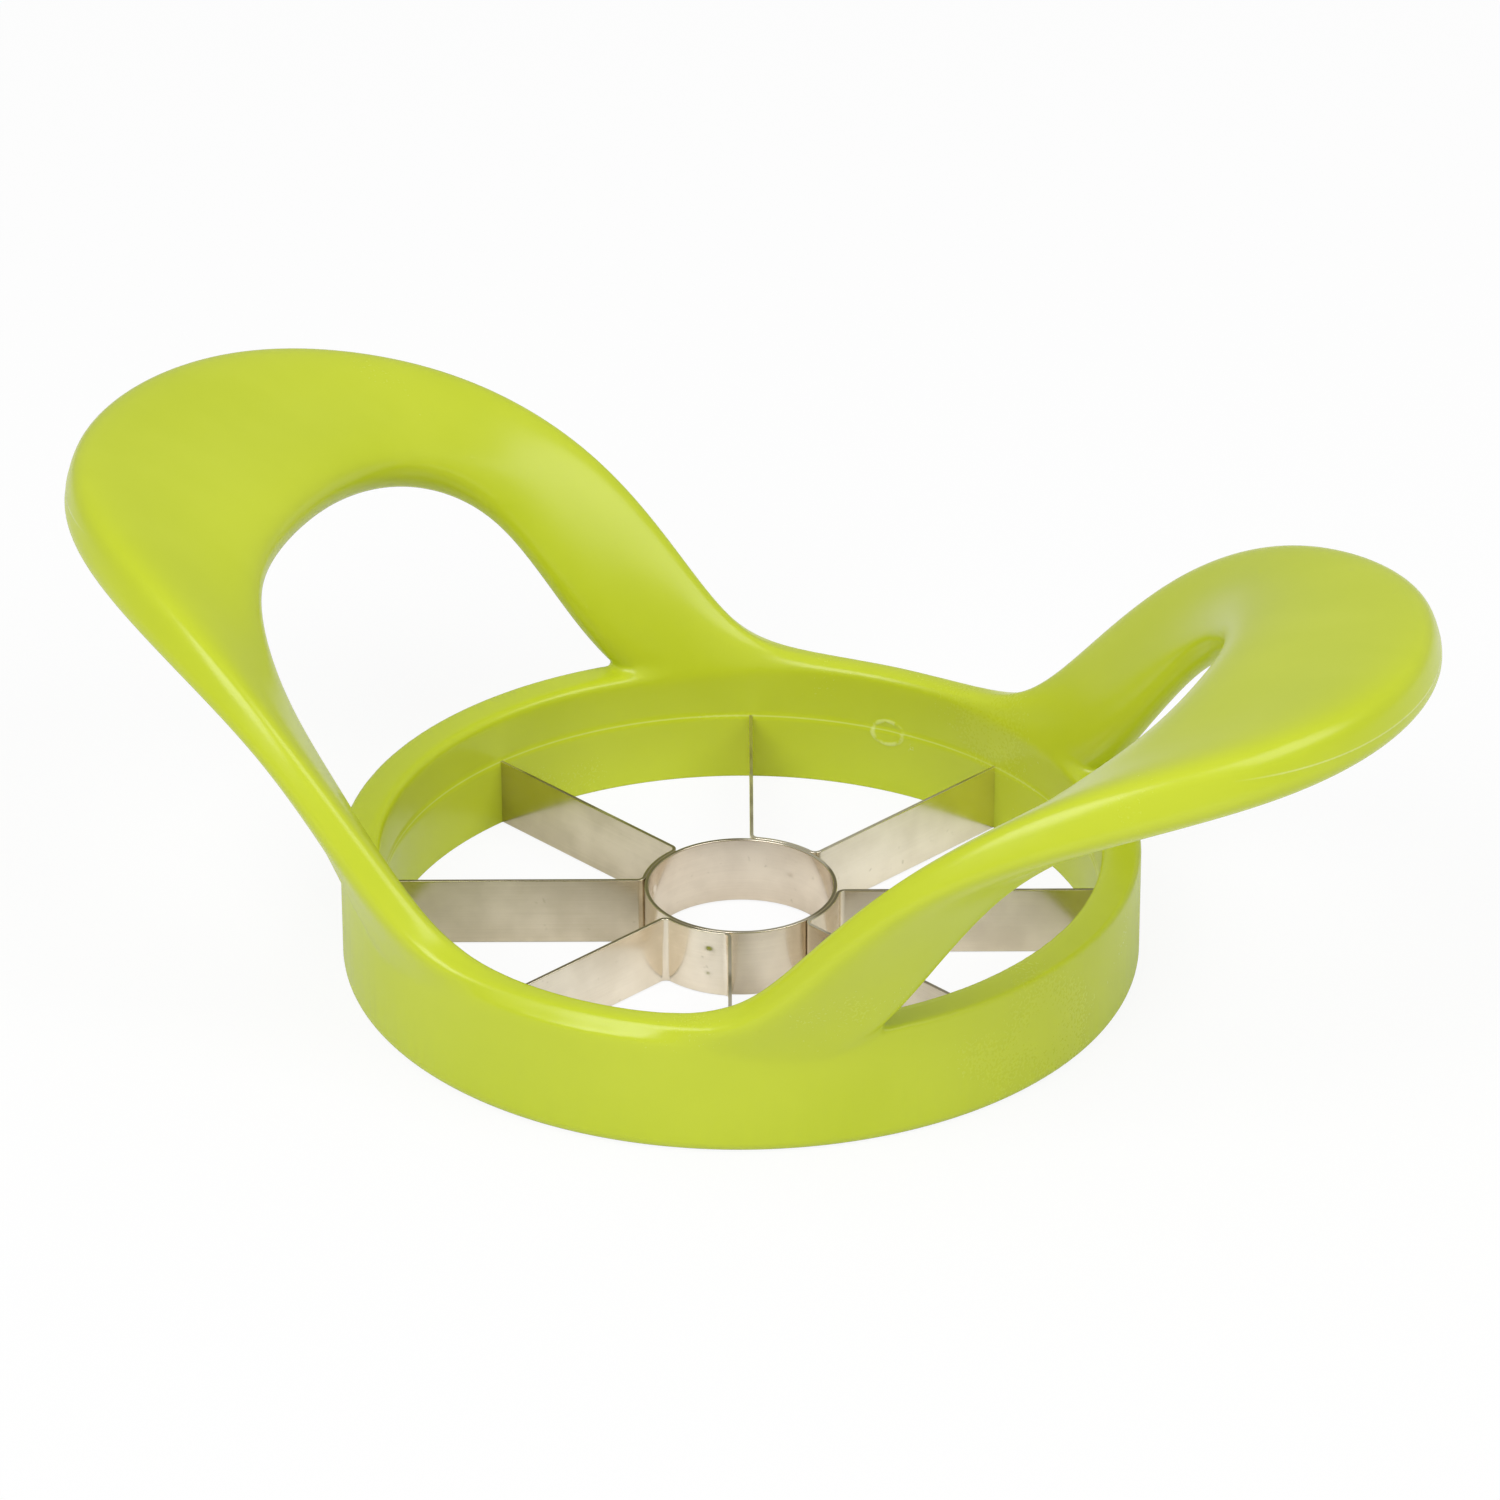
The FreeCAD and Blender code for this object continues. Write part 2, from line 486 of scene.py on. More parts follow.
@dataclass(frozen=True)
class LimePlastic:
    """Glossy lime plastic, as it comes out of a polished mould."""

    colour: tuple[int, int, int] = (194, 206, 44)
    deep: tuple[int, int, int] = (188, 201, 34)
    # Pale tint for the gate's whitening, the parting line and fine speckle, and for the painted
    # highlight along the ledge.
    stress_and_highlight: tuple[int, int, int] = (222, 231, 150)
    dirt: tuple[int, int, int] = (126, 112, 44)
    roughness: float = 0.26
    glow_depth: float = 1.5 * MM
    glow_share: float = 0.25
    relief_height: float = 0.005 * MM
    haze_strength: float = 0.02
    rim_strength: float = 0.6
    fleck_strength: float = 0.8
    parting_strength: float = 0.5
    # The last strength is that of the painted highlight along the ledge.
    ledge_highlight_strength: float = 0.35
    dirt_strength: float = 0.8

    def gate_mark(self, board: Board, x: Signal, y: Signal, z: Signal) -> Signal:
        """Share of whitening round the gate's mark on the rear inner wall.

        Args:
            board: the plastic's board.
            x: the place's X.
            y: its Y.
            z: its Z.

        Returns:
            The share.
        """
        across = (x - GATE.middle.x) / GATE.half_width
        upward = (z - GATE.middle.z) / GATE.half_height
        out = (across ** 2.0 + upward ** 2.0) ** 0.5
        rim = 1.0 - abs(out - 1.0).band(0.05, 0.24)
        broken = board.noise(board.place(), 700.0, 2.0).band(0.38, 0.62)
        flow_out = ((x - GATE.flow_x) ** 2.0 + (z - GATE.flow_z) ** 2.0) ** 0.5
        flecks = board.noise(board.place(), 1500.0, 1.0).band(0.58, 0.68)
        flow = flecks * (1.0 - flow_out.band(0.6 * MM, 1.3 * MM))
        on_wall = 1.0 - abs(y - GATE.middle.y).band(0.4 * MM, 0.8 * MM)
        return (self.rim_strength * rim * broken + self.fleck_strength * flow) * on_wall

    def parting_line(self, x: Signal, z: Signal) -> Signal:
        """Share of the fine line where the mould's halves met on the pads."""
        line = 1.0 - abs(z - PARTING.height).band(0.04 * MM, 0.16 * MM)
        return line * abs(x).band(PARTING.start, PARTING.full)

    def ledge_highlight(self, x: Signal, y: Signal, z: Signal) -> Signal:
        """Share of the painted highlight: a pale line painted along the step in the ring's inner
        wall, where it catches the light.
        """
        out = (x ** 2.0 + y ** 2.0) ** 0.5
        line = 1.0 - abs(z - LEDGE.highlight_height).band(0.03 * MM, 0.14 * MM)
        return line * (1.0 - out.band(LEDGE.highlight_out, LEDGE.highlight_gone))

    def material(self) -> bpy.types.Material:
        """Build the finish."""
        board = Board("lime_plastic")
        place = board.place()
        x, y, z = (board.axis(place, name) for name in "XYZ")
        cloud = board.noise(place, 26.0, 3.0)
        flow = board.noise(board.stretched((30.0, 90.0, 45.0)), 1.0, 4.0)
        tint = (0.6 * cloud + 0.4 * flow).band(0.35, 0.68)
        colour = board.blend(tint, linear(*self.deep), linear(*self.colour))
        # Pale whitening from speckle, the gate mark and the parting line, plus a painted highlight
        # along the ledge.
        pale_and_highlight = self.haze_strength * board.noise(place, 1500.0, 2.0).band(0.72, 0.8)
        pale_and_highlight = pale_and_highlight + self.gate_mark(board, x, y, z)
        pale_and_highlight = pale_and_highlight + self.parting_strength * self.parting_line(x, z)
        # Painted highlight: a pale line along the ledge in the inner wall.
        pale_and_highlight = pale_and_highlight + self.ledge_highlight_strength * self.ledge_highlight(x, y, z)
        colour = board.blend(pale_and_highlight, colour, linear(*self.stress_and_highlight))
        dirty = self.dirt_strength * board.specks(110.0, 0.02, 0.965)
        colour = board.blend(dirty, colour, linear(*self.dirt))
        relief = board.noise(place, 300.0, 1.0)
        grain = board.noise(place, 2600.0, 2.0)
        rough = self.roughness + (cloud - 0.5) * 0.08 + (grain - 0.5) * 0.02
        shader = board.node(
            "ShaderNodeBsdfPrincipled",
            {"subsurface_method": "RANDOM_WALK"},
            {
                "Base Color": colour,
                "Roughness": rough,
                "IOR": 1.5,
                "Subsurface Weight": self.glow_share,
                "Subsurface Radius": (1.0, 1.0, 0.35),
                "Subsurface Scale": self.glow_depth,
                "Normal": board.bump(relief, self.relief_height),
            },
        )
        return board.finish(shader)


@dataclass(frozen=True)
class RolledSteel:
    """Thin rolled stainless steel with dark cut edges."""

    name: str = "rolled_steel"
    face: tuple[int, int, int] = (248, 239, 224)
    shade: tuple[int, int, int] = (232, 222, 205)
    edge: tuple[int, int, int] = (140, 130, 98)
    burr: tuple[int, int, int] = (226, 218, 196)
    roughness: float = 0.17
    streak_height: float = 0.001 * MM
    spot_strength: float = 0.25
    burr_strength: float = 0.8

    def material(self) -> bpy.types.Material:
        """Build the finish."""
        board = Board(self.name)
        place = board.place()
        streak = board.noise(board.stretched((60.0, 60.0, 5200.0)), 1.0, 4.0)
        cloud = board.noise(place, 160.0, 3.0)
        spots = board.noise(place, 900.0, 2.0).band(0.68, 0.78)
        normal = board.node("ShaderNodeNewGeometry", output="Normal")
        cut = abs(board.axis(normal, "Z")).band(0.8, 0.95)
        bright = board.noise(place, 70.0, 2.0).band(0.5, 0.62)
        edge = board.blend(bright * self.burr_strength, linear(*self.edge), linear(*self.burr))
        tone = (0.2 * streak + 0.8 * cloud).band(0.3, 0.7)
        colour = board.blend(tone, linear(*self.shade), linear(*self.face))
        colour = board.blend(spots * self.spot_strength, colour, linear(*self.edge))
        colour = board.blend(cut, colour, edge)
        rough = self.roughness + (streak - 0.5) * 0.06 + (cloud - 0.5) * 0.08 + cut * 0.2
        shader = board.node(
            "ShaderNodeBsdfPrincipled",
            {},
            {
                "Base Color": colour,
                "Metallic": 1.0,
                "Roughness": rough,
                "Normal": board.bump(streak, self.streak_height),
            },
        )
        return board.finish(shader)


class Place(NamedTuple):
    """Where a corner of the handles stands to the ring, in millimetres."""

    reach: float
    inset: float
    rise: float


class Station(NamedTuple):
    """One section of the band: its rim, its edge and its thickness, in metres."""

    rim: Vector
    edge: Vector
    thickness: float


@dataclass
class MouldedBody:
    """The ring and the band that makes both loop handles, in one moulding.

    Sizes are in metres, but a Place is in millimetres from the ring's outer wall
    (reach along the handles, inset across them) and from its top (rise).
    """

    plastic: bpy.types.Material
    ring_outer: float = 50.5 * MM
    ring_wall: float = 5.3 * MM
    ring_height: float = 15.7 * MM
    base_round: float = 1.5 * MM
    rim_round: float = 0.6 * MM
    bore_overrun: float = 4.0 * MM
    crest_below: float = 3.0 * MM
    crest_above: tuple[float, float] = (2.0 * MM, 3.0 * MM)
    crest_out: tuple[float, float] = (0.8 * MM, 2.2 * MM)
    foot_cut: float = 0.35 * MM
    foot_round: float = 0.25 * MM
    foot_rows: int = 4
    saddle_root: float = 14.1 * MM
    saddle_crest: float = 1.3 * MM
    saddle_thickness: float = 5.0 * MM
    shoulder_root: float = 11.6 * MM
    shoulder_crest: float = 1.3 * MM
    shoulder_rim_angle: float = 19.2
    shoulder_edge_angle: float = 13.1
    shoulder_thickness: float = 5.2 * MM
    places: tuple[tuple[Place, Place, float], ...] = (
        (Place(-18.0, 14.6, -4.2), Place(-29.7, 5.0, 2.6), 5.7),
        (Place(-9.7, 18.7, 9.6), Place(-21.4, 4.8, 11.1), 5.9),
        (Place(-1.6, 19.5, 21.3), Place(-8.8, 5.2, 26.0), 4.8),
        (Place(5.7, 26.7, 28.8), Place(10.7, 11.1, 36.3), 8.4),
        (Place(9.3, 38.3, 32.2), Place(33.9, 25.8, 40.6), 9.0),
        (Place(9.9, 50.5, 33.1), Place(41.6, 50.5, 41.1), 9.0),
    )
    section: tuple[tuple[float, float], ...] = (
        (1.00, 0.00),
        (1.00, 0.78),
        (0.62, 1.00),
        (0.00, 1.00),
        (-0.62, 1.00),
        (-1.00, 0.62),
        (-1.00, -0.62),
        (-0.62, -1.00),
        (0.00, -1.00),
        (0.66, -1.00),
        (1.00, -0.72),
    )
    voxel: float = 0.42 * MM
    blend_width: float = 1.5 * MM
    most_triangles: int = 190000
    ring_steps: int = 576
    crest_rounds: int = 24
    wall_tolerance: float = 0.06 * MM
    shade_angle: float = 40.0
    name: str = "moulded_body"
    piece: bpy.types.Object = field(init=False)

    def handle_point(self, place: Place) -> Vector:
        """Point of the rear right quarter, in metres."""
        return Vector(
            (
                self.ring_outer + place.reach * MM,
                self.ring_outer - place.inset * MM,
                self.ring_height + place.rise * MM,
            )
        )

    def stations(self) -> list[Station]:
        """Stations of the rear right quarter, from the saddle to the pad's end."""
        middle = self.ring_outer - self.ring_wall / 2
        top = self.ring_height
        rim_turn = 90.0 - self.shoulder_rim_angle
        edge_turn = 90.0 - self.shoulder_edge_angle
        saddle = Station(
            polar(middle, 90.0, top - self.saddle_root),
            polar(middle, 90.0, top + self.saddle_crest),
            self.saddle_thickness,
        )
        shoulder = Station(
            polar(middle, rim_turn, top - self.shoulder_root),
            polar(middle, edge_turn, top + self.shoulder_crest),
            self.shoulder_thickness,
        )
        rest = [
            Station(self.handle_point(rim), self.handle_point(edge), thickness * MM)
            for rim, edge, thickness in self.places
        ]
        return [saddle, shoulder] + rest

    def outlines(self) -> list[list[Vector]]:
        """Outline of every section right round the band, from four quarters."""
        stations = self.stations()
        middles = [(s.rim + s.edge) * 0.5 for s in stations]
        befores = [middles[1] * Vector((-1, 1, 1))] + middles[:-1]
        afters = middles[1:] + [middles[-2] * Vector((1, -1, 1))]
        quarter = []
        for before, station, after in zip(befores, stations, afters):
            middle = (station.rim + station.edge) * 0.5
            width = station.edge - station.rim
            face = (after - before).cross(width).normalized()
            half = station.thickness / 2
            quarter.append(
                [middle + width * (0.5 * a) + face * (b * half) for a, b in self.section]
            )
        last = len(quarter) - 1
        net = []
        for across_x, across_y, order in (
            (1, 1, range(last)),
            (1, -1, range(last, 0, -1)),
            (-1, -1, range(last)),
            (-1, 1, range(last, 0, -1)),
        ):
            flip = Vector((across_x, across_y, 1))
            net += [[point * flip for point in quarter[k]] for k in order]
        return net

    def make_band(self) -> bpy.types.Object:
        """Band of both handles: a torus laid section by section on its stations."""
        Bench.clear()
        net = self.outlines()
        across = len(self.section)
        bpy.ops.mesh.primitive_torus_add(
            major_segments=len(net),
            minor_segments=across,
            major_radius=self.ring_outer,
            minor_radius=self.ring_wall,
        )
        band = Bench.named("band")
        with Bench.editing(band) as mesh:
            mesh.verts.ensure_lookup_table()
            for k, outline in enumerate(net):
                for j, point in enumerate(outline):
                    mesh.verts[k * across + j].co = point
        Bench.modify(band, "SUBSURF", levels=4, render_levels=4)
        Bench.face_outwards(band)
        return band

    def make_ring(self) -> bpy.types.Object:
        """Ring: the section of its wall, with its corners rounded, spun round."""
        Bench.clear()
        wall = self.ring_wall - LEDGE.step
        middle = self.ring_outer - wall / 2
        bpy.ops.mesh.primitive_plane_add(
            size=1.0,
            location=(middle, 0.0, self.ring_height / 2),
            rotation=(math.pi / 2, 0.0, 0.0),
        )
        ring = Bench.named("ring")
        ring.scale = (wall, self.ring_height, 1.0)
        Bench.settle(ring)
        upper_part = self.ring_height * 0.9
        lower_part = self.ring_height * 0.1
        with Bench.editing(ring):
            Bench.choose(ring, "VERT", lambda v: v.co.z < lower_part and v.co.x > middle)
            bpy.ops.mesh.bevel(offset=self.base_round, segments=6, affect="VERTICES")
            Bench.choose(ring, "VERT", lambda v: v.co.z > upper_part)
            bpy.ops.mesh.bevel(offset=self.rim_round, segments=4, affect="VERTICES")
            bpy.ops.mesh.select_all(action="SELECT")
            bpy.ops.mesh.delete(type="ONLY_FACE")
            bpy.ops.mesh.select_all(action="SELECT")
            bpy.ops.mesh.spin(
                steps=self.ring_steps, angle=math.tau, center=ORIGIN, axis=UP, dupli=False
            )
        Bench.face_outwards(ring)
        return ring

    def make_blend(self, band: bpy.types.Object, ring: bpy.types.Object) -> bpy.types.Object:
        """Body: band and ring grown together, with rounded creases.

        Args:
            band: the band of both handles.
            ring: the ring.

        Returns:
            The body in one skin.
        """
        skins = [BVHTree.FromObject(o, bpy.context.evaluated_depsgraph_get()) for o in (band, ring)]
        Bench.pick(ring, band)
        bpy.ops.object.join()
        true_form = Bench.named("true_form")
        body = true_form.copy()
        body.data = true_form.data.copy()
        bpy.context.scene.collection.objects.link(body)
        body.name = self.name
        body.data.name = self.name
        Bench.modify(body, "REMESH", mode="VOXEL", voxel_size=self.voxel)
        kept = body.vertex_groups.new(name="kept")
        creased = body.vertex_groups.new(name="creased")
        for vertex in body.data.vertices:
            gaps = [skin.find_nearest(vertex.co)[3] for skin in skins]
            weight = smooth_step(0.3 * self.blend_width, self.blend_width, max(gaps))
            kept.add([vertex.index], weight, "REPLACE")
            creased.add([vertex.index], 1.0 - weight, "REPLACE")
        Bench.modify(body, "SMOOTH", factor=0.5, iterations=4)
        Bench.modify(body, "SMOOTH", factor=0.5, iterations=14, vertex_group="creased")
        Bench.modify(
            body,
            "SHRINKWRAP",
            target=true_form,
            wrap_method="NEAREST_SURFACEPOINT",
            vertex_group="kept",
        )
        Bench.modify(body, "SMOOTH", factor=0.35, iterations=2, vertex_group="creased")
        Bench.discard(true_form)
        body.vertex_groups.clear()
        return body

    def clear_bore(self, body: bpy.types.Object) -> None:
        """Press the band's inner side back to the ring's bore, and round its upper end.

        Args:
            body: the body's skin.
        """
        upper = self.ring_outer - self.ring_wall + LEDGE.step
        for vertex in body.data.vertices:
            low = vertex.co.z < self.ring_height + self.bore_overrun
            if low and flat_length(vertex.co) < upper:
                set_radius(vertex.co, upper)
        crest = body.vertex_groups.new(name="crest")
        for vertex in body.data.vertices:
            beyond = flat_length(vertex.co) - upper
            rise = vertex.co.z - self.ring_height
            if beyond < self.ring_outer - upper and vertex.co.z > LEDGE.top:
                weight = smooth_step(-self.crest_below, 0.0, rise)
                weight *= 1.0 - smooth_step(*self.crest_out, beyond)
                weight *= 1.0 - smooth_step(*self.crest_above, rise)
                crest.add([vertex.index], weight, "REPLACE")
        rounds = {"factor": 0.5, "iterations": self.crest_rounds}
        Bench.modify(body, "SMOOTH", vertex_group=crest.name, **rounds)
        body.vertex_groups.clear()

    def cut_ledge(self, body: bpy.types.Object) -> None:
        """Step the inner wall in below the tops of the blades.

        Args:
            body: the body's skin.
        """
        upper = self.ring_outer - self.ring_wall + LEDGE.step
        near = upper + self.wall_tolerance

        def inside(face: bmesh.types.BMFace) -> bool:
            """Whether a face is on the ring's inner wall."""
            middle = face.calc_center_median()
            flat = Vector((middle.x, middle.y, 0.0))
            return flat.length < near and face.normal.dot(flat.normalized()) < -0.5

        with Bench.editing(body):
            for height in (LEDGE.top, LEDGE.top - LEDGE.slope):
                Bench.choose(body, "FACE", inside)
                Bench.cut_level(height)
        for vertex in body.data.vertices:
            if vertex.co.z < LEDGE.top and flat_length(vertex.co) < near:
                drop = min((LEDGE.top - vertex.co.z) / LEDGE.slope, 1.0)
                set_radius(vertex.co, upper - drop * LEDGE.step)

    def press_gate(self, body: bpy.types.Object) -> None:
        """Raise the gate mark's thin rim round a shallow dish.

        Args:
            body: the body's skin.
        """
        reach = 1.5 * GATE.half_width

        def is_near(point: Vector) -> bool:
            """Whether a point is on the wall round the mark."""
            gap = point - GATE.middle
            return abs(gap.y) < GATE.skin and math.hypot(gap.x, gap.z) < reach

        with Bench.editing(body):
            Bench.choose(body, "FACE", lambda f: is_near(f.calc_center_median()))
            bpy.ops.mesh.subdivide(number_cuts=3)
        for vertex in body.data.vertices:
            if is_near(vertex.co):
                gap = vertex.co - GATE.middle
                out = math.hypot(gap.x / GATE.half_width, gap.z / GATE.half_height)
                rim = GATE.rim_height * math.exp(-(((out - 1.0) / GATE.rim_width) ** 2))
                dish = GATE.dish * (1.0 - smooth_step(0.0, 0.9, out))
                vertex.co.y += dish - rim

    def part_pads(self, body: bpy.types.Object) -> None:
        """Step the pads' outer edges in below the mould's parting line.

        Args:
            body: the body's skin.
        """
        def is_edge(face: bmesh.types.BMFace) -> bool:
            """Whether a face is on a pad's outer edge, near the line."""
            middle = face.calc_center_median()
            near = abs(middle.z - PARTING.height) < PARTING.fade
            outwards = face.normal.x * middle.x > 0.0
            return abs(middle.x) > PARTING.start and near and outwards and abs(face.normal.z) < 0.7

        with Bench.editing(body):
            for height in (PARTING.height, PARTING.height - PARTING.slope):
                Bench.choose(body, "FACE", is_edge)
                Bench.cut_level(height)
        below = PARTING.height - 0.5 * PARTING.slope
        moves = []
        for vertex in body.data.vertices:
            x, _, z = vertex.co
            if abs(x) > PARTING.start and below - PARTING.fade < z < below:
                normal = vertex.normal.copy()
                if normal.x * x > 0.0 and abs(normal.z) < 0.8:
                    share = smooth_step(PARTING.start, PARTING.full, abs(x))
                    share *= 1.0 - smooth_step(0.0, PARTING.fade, below - z)
                    moves.append((vertex, normal * (PARTING.step * share)))
        for vertex, move in moves:
            vertex.co -= move

    def lay_foot(self, body: bpy.types.Object) -> None:
        """Take the skin's lowest part off and lay the foot in clean rows.

        Args:
            body: the body's skin, with its ledge cut.
        """
        inner = self.ring_outer - self.ring_wall
        middle = self.ring_outer - self.ring_wall / 2
        turn = self.ring_outer - self.base_round
        with Bench.editing(body):
            bpy.ops.mesh.select_all(action="SELECT")
            Bench.cut_level(self.foot_cut, drop_lower=True)
            Bench.choose(body, "EDGE", lambda e: e.is_boundary)
            for row in range(1, self.foot_rows + 1):
                height = self.foot_cut * (1.0 - row / self.foot_rows)
                bpy.ops.mesh.extrude_edges_move(
                    TRANSFORM_OT_translate={"value": (0.0, 0.0, -self.foot_cut / self.foot_rows)}
                )
                rise = self.base_round - height
                out = turn + math.sqrt(self.base_round ** 2 - rise ** 2)
                rise = max(self.foot_round - height, 0.0)
                hollow = inner + self.foot_round - math.sqrt(self.foot_round ** 2 - rise ** 2)
                mesh = bmesh.from_edit_mesh(body.data)
                for vertex in mesh.verts:
                    if vertex.select:
                        set_radius(vertex.co, hollow if flat_length(vertex.co) < middle else out)
                        vertex.co.z = height
            bpy.ops.mesh.bridge_edge_loops()
            bpy.ops.mesh.select_all(action="SELECT")
            bpy.ops.mesh.normals_make_consistent(inside=False)

    def thin_out(self, body: bpy.types.Object) -> None:
        """Thin the skin's triangles out, except on the inner wall, the line and the foot.

        Args:
            body: the body's skin.
        """
        near = self.ring_outer - self.ring_wall + 2 * LEDGE.step
        high = self.ring_height - 2 * self.rim_round
        open_skin = body.vertex_groups.new(name="open_skin")
        for vertex in body.data.vertices:
            x, _, z = vertex.co
            on_wall = flat_length(vertex.co) < near and z < high
            on_line = abs(x) > PARTING.start and abs(z - PARTING.height) < 2 * PARTING.slope
            weight = 0.0 if on_wall or on_line or z < 2 * self.foot_cut else 1.0
            open_skin.add([vertex.index], weight, "REPLACE")
        body.data.calc_loop_triangles()
        count = len(body.data.loop_triangles)
        log.info("body skin has %d triangles", count)
        if count > self.most_triangles:
            Bench.modify(
                body,
                "DECIMATE",
                ratio=self.most_triangles / count,
                vertex_group=open_skin.name,
                use_collapse_triangulate=True,
            )
        body.vertex_groups.clear()

    def build(self) -> None:
        """Model and dress the body."""
        self.piece = self.make_blend(self.make_band(), self.make_ring())
        self.clear_bore(self.piece)
        self.cut_ledge(self.piece)
        self.press_gate(self.piece)
        self.part_pads(self.piece)
        self.lay_foot(self.piece)
        self.thin_out(self.piece)
        Bench.smooth_shade(self.piece, self.shade_angle)
        self.piece.data.materials.clear()
        self.piece.data.materials.append(self.plastic)
        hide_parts("handle_body")
        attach(self.piece, "root")


@dataclass
class SteelStar:
    """The core tube and the four folded strips whose arms slice the apple."""

    # Copies of one steel, lighter and darker: painted reflection on the bright copy, painted shade
    # on the plain and darker copies.
    bright: bpy.types.Material
    plain: bpy.types.Material
    painted_shade_copy: bpy.types.Material
    core_outer: float = 12.2 * MM
    core_wall: float = 0.5 * MM
    core_bevel: float = 0.8 * MM
    core_flat: float = 0.1 * MM
    strip_thickness: float = 0.45 * MM
    strip_height: float = 9.0 * MM
    edge_lift: float = 0.1 * MM
    bend_radius: float = 1.0 * MM
    anchor_radius: float = 48.6 * MM
    arm_step: float = 45.0
    first_arm_step: float = 1.5
    star_turn: float = 0.9
    core_twist: float = 3.9
    hug_narrowing: float = 1.0
    rear_welds: tuple[tuple[float, float], ...] = ((-4.5, 5.4 * MM), (14.0, 3.1 * MM))
    other_welds: tuple[tuple[float, float], ...] = ((9.4, 6.2 * MM), (8.6, 2.6 * MM))
    weld_radius: float = 1.05 * MM
    weld_depth: float = 0.17 * MM
    edge_grind: float = 0.15 * MM
    edge_break: float = 0.11 * MM
    core_dent_share: float = 0.6
    tolerance: float = 0.01 * MM
    rows: int = 45
    core_sides: int = 360
    bend_steps: int = 10
    hug_steps: int = 64
    sharp: float = 0.9
    shade_angle: float = 35.0
    pieces: list[bpy.types.Object] = field(default_factory=list)

    @property
    def hug_radius(self) -> float:
        """Radius of a strip's middle where it lies on the core tube."""
        return self.core_outer + self.strip_thickness / 2

    @property
    def top(self) -> float:
        """Height of the blades' upper edges."""
        return self.edge_lift + self.strip_height

    def dress(self, piece: bpy.types.Object, node: str, steel: bpy.types.Material) -> None:
        """Break a piece's edges and give it its steel and its body.

        Args:
            piece: the finished piece.
            node: the CAD node that it stands for.
            steel: its steel, one of the lighter and darker copies of one finish, which carry
                painted reflection and painted shade.
        """
        edges = {"limit_method": "ANGLE", "angle_limit": self.sharp}
        Bench.modify(piece, "BEVEL", width=self.edge_break, segments=3, **edges)
        Bench.smooth_shade(piece, self.shade_angle)
        piece.data.materials.clear()
        piece.data.materials.append(steel)
        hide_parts(node)
        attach(piece, "root")
        self.pieces.append(piece)

    def dent(self, piece: bpy.types.Object, centre: Vector, push: Vector) -> None:
        """Press a round spot-weld mark into a piece.

        Args:
            piece: the piece.
            centre: the middle of the mark, on the surface.
            push: which way, and how deep, the metal goes.
        """
        for vertex in piece.data.vertices:
            gap = (vertex.co - centre).length / self.weld_radius
            if gap < 1.0:
                vertex.co += push * (1.0 - smooth_step(0.0, 1.0, gap))

    def make_core(self) -> None:
        """Core tube: its wall bent round, bevelled inside at its lower edge."""
        Bench.clear()
        bpy.ops.mesh.primitive_cylinder_add(
            vertices=self.core_sides,
            radius=self.core_outer,
            depth=self.strip_height,
            end_fill_type="NOTHING",
            location=(0.0, 0.0, self.edge_lift + self.strip_height / 2),
        )
        core = Bench.named("core_tube")
        Bench.settle(core)
        with Bench.editing(core):
            Bench.slice_rows(self.edge_lift, self.top, self.rows)
        for index in range(4):
            for turn, height in self.welds(index):
                spot = polar(self.core_outer, turn, height)
                self.dent(core, spot, polar(self.core_dent_share * self.weld_depth, turn))
        Bench.modify(core, "SOLIDIFY", thickness=self.core_wall, offset=-1.0)
        inner = self.core_outer - self.core_wall
        low = self.edge_lift + self.tolerance
        with Bench.editing(core):
            Bench.choose(
                core,
                "VERT",
                lambda v: v.co.z < low and flat_length(v.co) < inner + 0.1 * MM,
            )
            widen = (self.core_outer - self.core_flat) / inner
            bpy.ops.transform.resize(
                value=(widen, widen, 1.0), center_override=ORIGIN, orient_type="GLOBAL"
            )
        self.dress(core, "core_ring", self.plain)

    def make_strip(self, index: int, name: str) -> None:
        """Strip: an arm, a bend, an arc along the core tube, a bend, an arm.

        Args:
            index: which of the four, counted round from the rear.
            name: where it stands, as in the CAD node's name.
        """
        turns = [
            self.star_turn + self.arm_step * (2 * index + self.first_arm_step + k) for k in (0, 1)
        ]
        hugs = [turns[0] - self.core_twist + self.hug_narrowing]
        hugs.append(turns[1] - self.core_twist - self.hug_narrowing)
        first, second = (
            Run.lay(self, turn, hug, side) for turn, hug, side in zip(turns, hugs, (1, -1))
        )
        Bench.clear()
        middle = (first.wall + first.foot) * 0.5
        bpy.ops.mesh.primitive_plane_add(
            size=1.0,
            location=middle + UP * (self.edge_lift + self.strip_height / 2),
            rotation=(math.pi / 2, 0.0, math.atan2(first.out.y, first.out.x)),
        )
        strip = Bench.named("blade_" + name)
        strip.scale = ((first.wall - first.foot).length, self.strip_height, 1.0)
        Bench.settle(strip)
        wrap = (second.bend_turn - first.bend_turn) % math.tau
        with Bench.editing(strip):
            near = 0.05 * MM
            Bench.choose(
                strip,
                "EDGE",
                lambda e: all(flat_length(v.co - first.foot) < near for v in e.verts),
            )
            Bench.turn_on(first.bend_centre, -first.bend_angle, self.bend_steps)
            Bench.turn_on(ORIGIN, wrap, self.hug_steps)
            Bench.turn_on(second.bend_centre, -second.bend_angle, self.bend_steps)
            bpy.ops.mesh.extrude_edges_move(
                TRANSFORM_OT_translate={"value": second.wall - second.foot}
            )
            Bench.slice_rows(self.edge_lift, self.top, self.rows)
        for turn, height in self.welds(index):
            spot = polar(self.hug_radius, turn, height)
            self.dent(strip, spot, polar(self.weld_depth, turn))
        Bench.modify(strip, "SOLIDIFY", thickness=self.strip_thickness, offset=0.0)
        Bench.face_outwards(strip)
